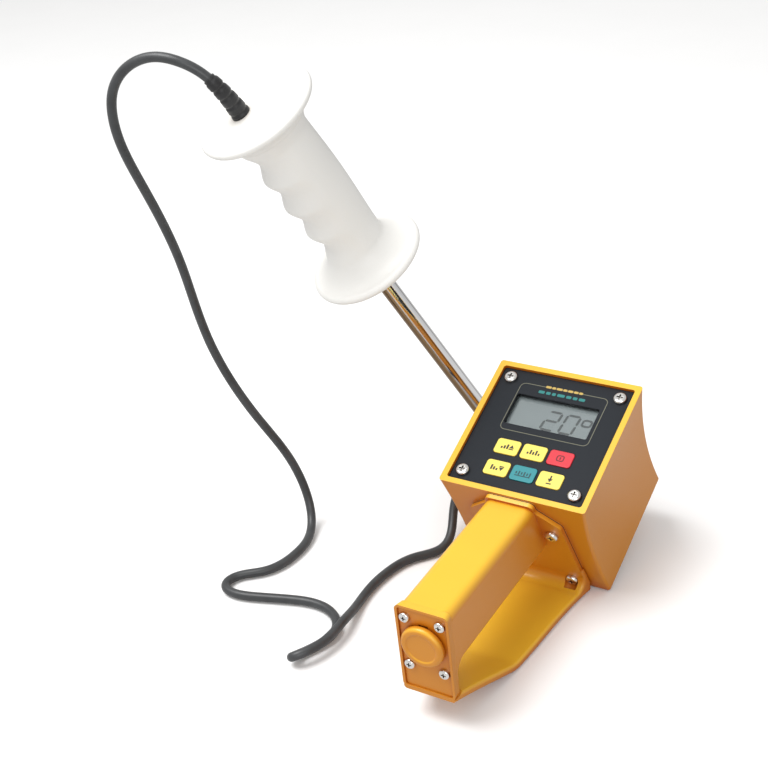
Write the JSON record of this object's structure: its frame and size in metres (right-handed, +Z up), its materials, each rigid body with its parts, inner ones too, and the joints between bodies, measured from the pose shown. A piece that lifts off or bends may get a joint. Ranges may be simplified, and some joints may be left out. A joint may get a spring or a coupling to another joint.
{
  "type": "grain moisture meter",
  "caption": "Hand-held moisture meter with a tilted display head, a hollow grip and guard handle, and a push-in probe with a round-flanged grip on a flexible lead.",
  "frame": {"origin": "on the floor, on the meter's mid-plane, below the root of the handle", "axes": "+Z up, +Y along the handle from its end towards the head, +X to the right of the display"},
  "size_m": [0.2433, 0.2301, 0.3086],
  "materials": {
    "black_panel": "fine matt",
    "black_plastic": "satin",
    "board_green": "solder mask",
    "brass": "satin",
    "cable_jacket": "smooth satin",
    "capacitor_blue": "film wrapped",
    "carbon_rubber": "matt",
    "cell_jacket": "film wrapped",
    "key_red": "satin",
    "key_teal": "satin",
    "key_yellow": "satin",
    "lcd_grey": "polished",
    "natural_nylon": "satin",
    "polished_steel": "polished",
    "screw_steel": "bright plated",
    "seal_rubber": "matt",
    "spring_steel": "bright",
    "white_plastic": "satin moulded",
    "window": "clear polished",
    "wire_jacket": "smooth",
    "yellow_shell": "satin moulded"
  },
  "bodies": {
    "meter": {"head_housing": "yellow_shell", "front_panel": "black_panel", "panel_gasket": "seal_rubber", "panel_screws": "screw_steel", "lcd_window": "window", "lcd_module": "lcd_grey", "lcd_holder": "black_plastic", "contact_strips": "carbon_rubber", "main_board": "board_green", "board_standoffs": "brass", "board_screws": "screw_steel", "key_switches": "black_plastic", "processor_chip": "black_plastic", "board_capacitors": "capacitor_blue", "lead_plugs": "natural_nylon", "handle_frame": "yellow_shell", "flange_gasket": "seal_rubber", "flange_screws": "screw_steel", "flange_nuts": "screw_steel", "end_gasket": "seal_rubber", "end_plate": "yellow_shell", "end_plate_screws": "screw_steel", "battery_tube": "natural_nylon", "battery_cells": "cell_jacket", "inner_contact": "spring_steel", "battery_leads": "wire_jacket", "cable_gland": "black_plastic", "gland_nut": "black_plastic", "gland_locknut": "black_plastic", "probe_leads": "wire_jacket", "cable": "cable_jacket"},
    "battery_cap": {"battery_cap": "yellow_shell", "cap_seal": "seal_rubber", "cap_spring": "spring_steel"},
    "probe": {"grip": "white_plastic", "grip_cap": "white_plastic", "strain_relief": "seal_rubber", "probe_rod": "polished_steel", "rod_clip": "spring_steel", "probe_tip": "polished_steel", "temperature_sensor": "black_plastic", "insulator_ring": "natural_nylon", "insulator_sleeve": "natural_nylon", "core_conductor": "brass", "grip_leads": "wire_jacket"},
    "key_top_left": {"key_top_left": "key_yellow"},
    "key_top_middle": {"key_top_middle": "key_yellow"},
    "key_top_right": {"key_top_right": "key_red"},
    "key_bottom_left": {"key_bottom_left": "key_yellow"},
    "key_bottom_middle": {"key_bottom_middle": "key_teal"},
    "key_bottom_right": {"key_bottom_right": "key_yellow"}
  },
  "joints": [
    {"name": "battery_cap_turn", "type": "hinge", "parent": "meter", "child": "battery_cap", "pos_m": [0, -0.099, 0.0501], "axis": [0, -1, 0], "range_deg": [0, 90]},
    {"name": "probe_draw", "type": "slide", "parent": "meter", "child": "probe", "axis": [-0.2316, -0.4012, 0.8862], "range_m": [0, 0.12], "deforming": ["cable"]},
    {"name": "key_top_left_press", "type": "slide", "parent": "meter", "child": "key_top_left", "axis": [0, 0.3478, -0.9376], "range_m": [0, 0.0005], "stiffness_N_per_m": 800},
    {"name": "key_top_middle_press", "type": "slide", "parent": "meter", "child": "key_top_middle", "axis": [0, 0.3478, -0.9376], "range_m": [0, 0.0005], "stiffness_N_per_m": 800},
    {"name": "key_top_right_press", "type": "slide", "parent": "meter", "child": "key_top_right", "axis": [0, 0.3478, -0.9376], "range_m": [0, 0.0005], "stiffness_N_per_m": 800},
    {"name": "key_bottom_left_press", "type": "slide", "parent": "meter", "child": "key_bottom_left", "axis": [0, 0.3478, -0.9376], "range_m": [0, 0.0005], "stiffness_N_per_m": 800},
    {"name": "key_bottom_middle_press", "type": "slide", "parent": "meter", "child": "key_bottom_middle", "axis": [0, 0.3478, -0.9376], "range_m": [0, 0.0005], "stiffness_N_per_m": 800},
    {"name": "key_bottom_right_press", "type": "slide", "parent": "meter", "child": "key_bottom_right", "axis": [0, 0.3478, -0.9376], "range_m": [0, 0.0005], "stiffness_N_per_m": 800}
  ]
}
